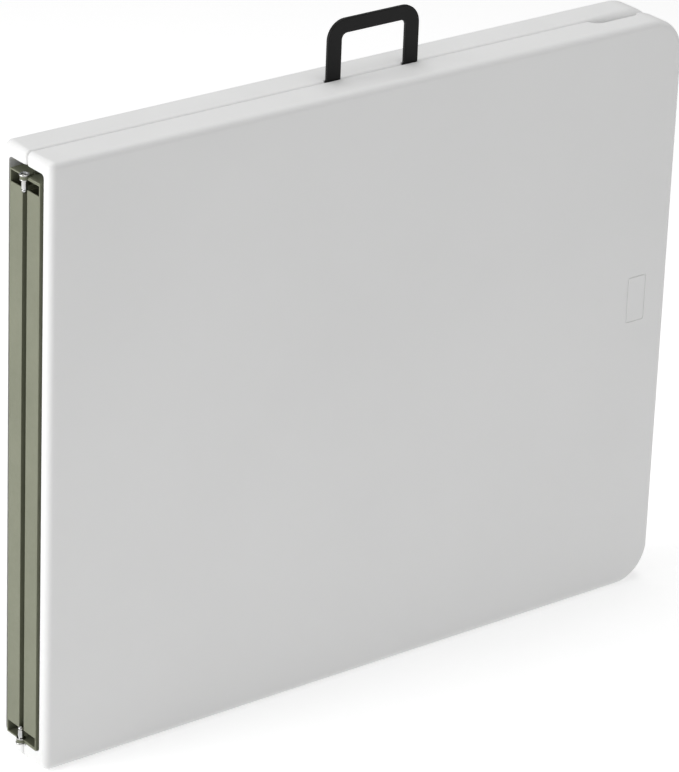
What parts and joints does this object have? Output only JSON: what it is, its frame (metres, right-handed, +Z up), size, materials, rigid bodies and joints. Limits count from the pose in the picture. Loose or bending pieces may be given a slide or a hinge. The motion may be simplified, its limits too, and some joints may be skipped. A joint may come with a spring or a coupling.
{
  "type": "folding table",
  "caption": "Fold-in-half table with white plastic halves, closed like a case on its long edge, with fold-away leg frames inside and a pull-up carry handle.",
  "frame": {"origin": "middle of the closed table's footprint, on the floor", "axes": "+X from the fold to the outer end, +Y from the front half to the rear half, +Z up across the table's width"},
  "size_m": [0.9084, 0.093, 0.811],
  "materials": {
    "white_plastic": "fine moulded grain, satin",
    "olive_steel": "powder coat, satin",
    "black_handle": "matte grip coating",
    "black_plastic": "moulded, satin",
    "zinc": "bright zinc plate"
  },
  "bodies": {
    "front_half": {"front_panel": "white_plastic", "front_upper_rail": "olive_steel", "front_lower_rail": "olive_steel", "front_fold_crossmember": "olive_steel", "front_hinge_plates": "olive_steel", "hinge_bolts": "zinc", "hinge_clips": "zinc", "front_panel_screws": "zinc", "front_pivot_washers": "black_plastic", "front_brace_brackets": "olive_steel", "front_bracket_pins": "zinc", "handle_bracket": "olive_steel", "handle_rivets": "zinc"},
    "rear_half": {"rear_panel": "white_plastic", "rear_upper_rail": "olive_steel", "rear_lower_rail": "olive_steel", "rear_fold_crossmember": "olive_steel", "rear_panel_screws": "zinc", "rear_pivot_washers": "black_plastic", "rear_brace_brackets": "olive_steel", "rear_bracket_pins": "zinc"},
    "front_leg": {"front_leg_frame": "olive_steel", "front_leg_collars": "black_plastic"},
    "rear_leg": {"rear_leg_frame": "olive_steel", "rear_leg_collars": "black_plastic"},
    "front_foot": {"front_foot_frame": "olive_steel", "front_foot_caps": "black_plastic"},
    "rear_foot": {"rear_foot_frame": "olive_steel", "rear_foot_caps": "black_plastic"},
    "front_long_brace": {"front_long_braces": "olive_steel", "front_elbow_rivets": "zinc"},
    "rear_long_brace": {"rear_long_braces": "olive_steel", "rear_elbow_rivets": "zinc"},
    "front_short_brace": {"front_short_braces": "olive_steel"},
    "rear_short_brace": {"rear_short_braces": "olive_steel"},
    "handle": {"handle": "black_handle"}
  },
  "joints": [
    {"name": "fold", "type": "hinge", "parent": "front_half", "child": "rear_half", "pos_m": [-0.448, 0, 0.37], "axis": [0, 0, 1], "range_deg": [0, 180]},
    {"name": "front_leg_fold", "type": "hinge", "parent": "front_half", "child": "front_leg", "pos_m": [0.3542, -0.01665, 0.37], "axis": [0, 0, -1], "range_deg": [0, 90]},
    {"name": "rear_leg_fold", "type": "hinge", "parent": "rear_half", "child": "rear_leg", "pos_m": [0.3542, 0.01665, 0.37], "axis": [0, 0, 1], "range_deg": [0, 90]},
    {"name": "front_long_brace_turn", "type": "hinge", "parent": "front_half", "child": "front_long_brace", "pos_m": [0.0142, -0.014, 0.37], "axis": [0, 0, 1], "range_deg": [0, 35.82]},
    {"name": "rear_long_brace_turn", "type": "hinge", "parent": "rear_half", "child": "rear_long_brace", "pos_m": [0.0142, 0.014, 0.37], "axis": [0, 0, -1], "range_deg": [0, 35.82]},
    {"name": "front_short_brace_turn", "type": "hinge", "parent": "front_leg", "child": "front_short_brace", "pos_m": [0.1042, -0.014, 0.37], "axis": [0, 0, -1], "range_deg": [0, 54.18]},
    {"name": "rear_short_brace_turn", "type": "hinge", "parent": "rear_leg", "child": "rear_short_brace", "pos_m": [0.1042, 0.014, 0.37], "axis": [0, 0, 1], "range_deg": [0, 54.18]},
    {"name": "front_foot_slide", "type": "slide", "parent": "front_leg", "child": "front_foot", "axis": [-1, 0, 0], "range_m": [0, 0.31]},
    {"name": "rear_foot_slide", "type": "slide", "parent": "rear_leg", "child": "rear_foot", "axis": [-1, 0, 0], "range_m": [0, 0.31]},
    {"name": "handle_slide", "type": "slide", "parent": "front_half", "child": "handle", "axis": [0, 0, -1], "range_m": [0, 0.05]}
  ],
  "couplings": [
    {"joint": "front_leg_fold", "follows": "fold", "ratio": 0.5},
    {"joint": "rear_leg_fold", "follows": "fold", "ratio": 0.5},
    {"joint": "front_long_brace_turn", "follows": "fold", "ratio": 0.19902},
    {"joint": "rear_long_brace_turn", "follows": "fold", "ratio": 0.19902},
    {"joint": "front_short_brace_turn", "follows": "fold", "ratio": 0.30097},
    {"joint": "rear_short_brace_turn", "follows": "fold", "ratio": 0.30097}
  ]
}
